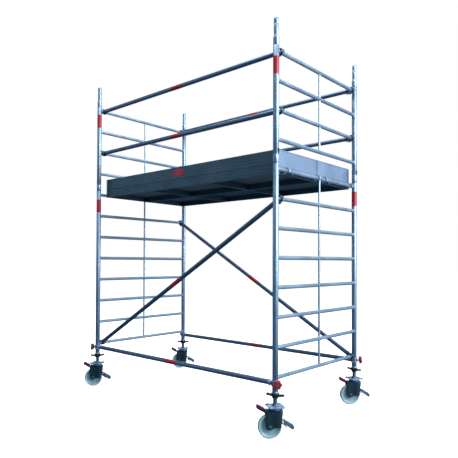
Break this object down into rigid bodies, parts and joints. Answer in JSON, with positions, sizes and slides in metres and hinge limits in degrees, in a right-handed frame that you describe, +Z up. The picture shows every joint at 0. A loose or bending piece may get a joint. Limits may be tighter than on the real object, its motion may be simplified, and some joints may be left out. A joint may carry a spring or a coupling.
{
  "type": "mobile tower scaffold",
  "caption": "Mobile aluminium access tower: two ladder end frames with braces and guard rails, hook-on platforms with toe boards and a hatch, on adjustable legs with braked castors.",
  "frame": {"origin": "on the floor, midway between the four posts", "axes": "+Z up, +X along the platforms towards the end with the windlocks, +Y across the tower towards the platform with the hatch"},
  "size_m": [2.8054, 1.6452, 3.53],
  "materials": {
    "aluminium_tube": "satin extruded tube, drawn along its length, with dull weld beads",
    "brace_tube": "ribbed extruded tube, darker and duller than the frames",
    "platform_profile": "satin extruded profile with long grooves",
    "end_toe_board": "plain bright aluminium board, finely scratched",
    "deck_panel": "film-faced plywood with an anti-slip mesh pattern",
    "wheel_nylon": "cast nylon, slightly scuffed",
    "fork_steel": "dark blue-grey passivated steel",
    "galvanised_steel": "zinc-plated steel",
    "adjuster_iron": "dark malleable casting",
    "pedal_steel": "dark pressed steel with a red pad and a grey pad",
    "knob_plastic": "red moulded plastic"
  },
  "bodies": {
    "tower": {"base_brace_back": "brace_tube", "base_brace_front": "brace_tube", "deck_board_back": "deck_panel", "deck_board_front": "deck_panel", "diagonal_brace_back": "brace_tube", "diagonal_brace_front": "brace_tube", "hatch_hinge_pin": "galvanised_steel", "lower_frame_left": "aluminium_tube", "lower_frame_right": "aluminium_tube", "mid_guard_rail_back": "brace_tube", "mid_guard_rail_front": "brace_tube", "platform_frame_back": "platform_profile", "platform_frame_front": "platform_profile", "toe_board_back": "platform_profile", "toe_board_front": "platform_profile", "toe_board_left_back": "end_toe_board", "toe_board_left_front": "end_toe_board", "toe_board_right_back": "end_toe_board", "toe_board_right_front": "end_toe_board", "top_guard_rail_back": "brace_tube", "top_guard_rail_front": "brace_tube", "upper_frame_left": "aluminium_tube", "upper_frame_right": "aluminium_tube"},
    "leg_front_right": {"adjustable_leg_front_right": "galvanised_steel"},
    "nut_front_right": {"adjuster_nut_front_right": "adjuster_iron"},
    "fork_front_right": {"castor_fork_front_right": "fork_steel", "wheel_axle_front_right": "galvanised_steel"},
    "wheel_front_right": {"castor_wheel_front_right": "wheel_nylon"},
    "pedal_front_right": {"brake_pedal_front_right": "pedal_steel"},
    "knob_front_right": {"star_knob_front_right": "knob_plastic"},
    "clip_front_right": {"interlock_clip_front_right": "galvanised_steel"},
    "leg_front_left": {"adjustable_leg_front_left": "galvanised_steel"},
    "nut_front_left": {"adjuster_nut_front_left": "adjuster_iron"},
    "fork_front_left": {"castor_fork_front_left": "fork_steel", "wheel_axle_front_left": "galvanised_steel"},
    "wheel_front_left": {"castor_wheel_front_left": "wheel_nylon"},
    "pedal_front_left": {"brake_pedal_front_left": "pedal_steel"},
    "knob_front_left": {"star_knob_front_left": "knob_plastic"},
    "clip_front_left": {"interlock_clip_front_left": "galvanised_steel"},
    "leg_back_right": {"adjustable_leg_back_right": "galvanised_steel"},
    "nut_back_right": {"adjuster_nut_back_right": "adjuster_iron"},
    "fork_back_right": {"castor_fork_back_right": "fork_steel", "wheel_axle_back_right": "galvanised_steel"},
    "wheel_back_right": {"castor_wheel_back_right": "wheel_nylon"},
    "pedal_back_right": {"brake_pedal_back_right": "pedal_steel"},
    "knob_back_right": {"star_knob_back_right": "knob_plastic"},
    "clip_back_right": {"interlock_clip_back_right": "galvanised_steel"},
    "leg_back_left": {"adjustable_leg_back_left": "galvanised_steel"},
    "nut_back_left": {"adjuster_nut_back_left": "adjuster_iron"},
    "fork_back_left": {"castor_fork_back_left": "fork_steel", "wheel_axle_back_left": "galvanised_steel"},
    "wheel_back_left": {"castor_wheel_back_left": "wheel_nylon"},
    "pedal_back_left": {"brake_pedal_back_left": "pedal_steel"},
    "knob_back_left": {"star_knob_back_left": "knob_plastic"},
    "clip_back_left": {"interlock_clip_back_left": "galvanised_steel"},
    "hatch": {"hatch": "deck_panel"},
    "hatch_catch": {"hatch_catch": "galvanised_steel"},
    "windlock_front": {"windlock_front": "galvanised_steel"},
    "windlock_back": {"windlock_back": "galvanised_steel"}
  },
  "joints": [
    {"name": "adjuster_nut_turn_front_right", "type": "hinge", "parent": "tower", "child": "nut_front_right", "pos_m": [1.275, -0.7, 0.375], "axis": [0, 0, 1], "range_deg": [-2030, 11255]},
    {"name": "leg_slide_front_right", "type": "slide", "parent": "tower", "child": "leg_front_right", "axis": [0, 0, -1], "range_m": [-0.045, 0.25]},
    {"name": "castor_swivel_front_right", "type": "hinge", "parent": "leg_front_right", "child": "fork_front_right", "pos_m": [1.275, -0.7, 0.238], "axis": [0, 0, 1], "continuous": true},
    {"name": "wheel_spin_front_right", "type": "hinge", "parent": "fork_front_right", "child": "wheel_front_right", "pos_m": [1.24163, -0.73166, 0.1], "axis": [-0.6884, 0.7254, 0], "continuous": true},
    {"name": "brake_pedal_press_front_right", "type": "hinge", "parent": "fork_front_right", "child": "pedal_front_right", "pos_m": [1.26049, -0.71377, 0.2095], "axis": [0.6884, -0.7254, 0], "range_deg": [0, 9]},
    {"name": "star_knob_turn_front_right", "type": "hinge", "parent": "tower", "child": "knob_front_right", "pos_m": [1.32386, -0.73817, 0.455], "axis": [0.788, -0.6157, 0], "continuous": true},
    {"name": "interlock_clip_pull_front_right", "type": "slide", "parent": "tower", "child": "clip_front_right", "axis": [1, 0, 0], "range_m": [0, 0.06]},
    {"name": "adjuster_nut_turn_front_left", "type": "hinge", "parent": "tower", "child": "nut_front_left", "pos_m": [-1.275, -0.7, 0.375], "axis": [0, 0, 1], "range_deg": [-2030, 11255]},
    {"name": "leg_slide_front_left", "type": "slide", "parent": "tower", "child": "leg_front_left", "axis": [0, 0, -1], "range_m": [-0.045, 0.25]},
    {"name": "castor_swivel_front_left", "type": "hinge", "parent": "leg_front_left", "child": "fork_front_left", "pos_m": [-1.275, -0.7, 0.238], "axis": [0, 0, 1], "continuous": true},
    {"name": "wheel_spin_front_left", "type": "hinge", "parent": "fork_front_left", "child": "wheel_front_left", "pos_m": [-1.30837, -0.73166, 0.1], "axis": [-0.6884, 0.7254, 0], "continuous": true},
    {"name": "brake_pedal_press_front_left", "type": "hinge", "parent": "fork_front_left", "child": "pedal_front_left", "pos_m": [-1.28951, -0.71377, 0.2095], "axis": [0.6884, -0.7254, 0], "range_deg": [0, 9]},
    {"name": "star_knob_turn_front_left", "type": "hinge", "parent": "tower", "child": "knob_front_left", "pos_m": [-1.32386, -0.73817, 0.455], "axis": [-0.788, -0.6157, 0], "continuous": true},
    {"name": "interlock_clip_pull_front_left", "type": "slide", "parent": "tower", "child": "clip_front_left", "axis": [-1, 0, 0], "range_m": [0, 0.06]},
    {"name": "adjuster_nut_turn_back_right", "type": "hinge", "parent": "tower", "child": "nut_back_right", "pos_m": [1.275, 0.7, 0.375], "axis": [0, 0, 1], "range_deg": [-2030, 11255]},
    {"name": "leg_slide_back_right", "type": "slide", "parent": "tower", "child": "leg_back_right", "axis": [0, 0, -1], "range_m": [-0.045, 0.25]},
    {"name": "castor_swivel_back_right", "type": "hinge", "parent": "leg_back_right", "child": "fork_back_right", "pos_m": [1.275, 0.7, 0.238], "axis": [0, 0, 1], "continuous": true},
    {"name": "wheel_spin_back_right", "type": "hinge", "parent": "fork_back_right", "child": "wheel_back_right", "pos_m": [1.24163, 0.66834, 0.1], "axis": [-0.6884, 0.7254, 0], "continuous": true},
    {"name": "brake_pedal_press_back_right", "type": "hinge", "parent": "fork_back_right", "child": "pedal_back_right", "pos_m": [1.26049, 0.68623, 0.2095], "axis": [0.6884, -0.7254, 0], "range_deg": [0, 9]},
    {"name": "star_knob_turn_back_right", "type": "hinge", "parent": "tower", "child": "knob_back_right", "pos_m": [1.32386, 0.73817, 0.455], "axis": [0.788, 0.6157, 0], "continuous": true},
    {"name": "interlock_clip_pull_back_right", "type": "slide", "parent": "tower", "child": "clip_back_right", "axis": [1, 0, 0], "range_m": [0, 0.06]},
    {"name": "adjuster_nut_turn_back_left", "type": "hinge", "parent": "tower", "child": "nut_back_left", "pos_m": [-1.275, 0.7, 0.375], "axis": [0, 0, 1], "range_deg": [-2030, 11255]},
    {"name": "leg_slide_back_left", "type": "slide", "parent": "tower", "child": "leg_back_left", "axis": [0, 0, -1], "range_m": [-0.045, 0.25]},
    {"name": "castor_swivel_back_left", "type": "hinge", "parent": "leg_back_left", "child": "fork_back_left", "pos_m": [-1.275, 0.7, 0.238], "axis": [0, 0, 1], "continuous": true},
    {"name": "wheel_spin_back_left", "type": "hinge", "parent": "fork_back_left", "child": "wheel_back_left", "pos_m": [-1.30837, 0.66834, 0.1], "axis": [-0.6884, 0.7254, 0], "continuous": true},
    {"name": "brake_pedal_press_back_left", "type": "hinge", "parent": "fork_back_left", "child": "pedal_back_left", "pos_m": [-1.28951, 0.68623, 0.2095], "axis": [0.6884, -0.7254, 0], "range_deg": [0, 9]},
    {"name": "star_knob_turn_back_left", "type": "hinge", "parent": "tower", "child": "knob_back_left", "pos_m": [-1.32386, 0.73817, 0.455], "axis": [-0.788, 0.6157, 0], "continuous": true},
    {"name": "interlock_clip_pull_back_left", "type": "slide", "parent": "tower", "child": "clip_back_left", "axis": [-1, 0, 0], "range_m": [0, 0.06]},
    {"name": "hatch_swing", "type": "hinge", "parent": "tower", "child": "hatch", "pos_m": [0.8, 0.575, 2.298], "axis": [-1, 0, 0], "range_deg": [0, 90]},
    {"name": "hatch_catch_turn", "type": "hinge", "parent": "hatch", "child": "hatch_catch", "pos_m": [0.8, 0.17, 2.2917], "axis": [0, 0, 1], "range_deg": [0, 90]},
    {"name": "windlock_swing_front", "type": "hinge", "parent": "tower", "child": "windlock_front", "pos_m": [1.226, -0.475, 2.2217], "axis": [0, 0, 1], "range_deg": [0, 90]},
    {"name": "windlock_swing_back", "type": "hinge", "parent": "tower", "child": "windlock_back", "pos_m": [1.226, 0.16, 2.2217], "axis": [0, 0, 1], "range_deg": [0, 90]}
  ],
  "couplings": [
    {"joint": "adjuster_nut_turn_front_right", "follows": "leg_slide_front_right", "rad_per_m": 785.4},
    {"joint": "adjuster_nut_turn_front_left", "follows": "leg_slide_front_left", "rad_per_m": 785.4},
    {"joint": "adjuster_nut_turn_back_right", "follows": "leg_slide_back_right", "rad_per_m": 785.4},
    {"joint": "adjuster_nut_turn_back_left", "follows": "leg_slide_back_left", "rad_per_m": 785.4}
  ]
}
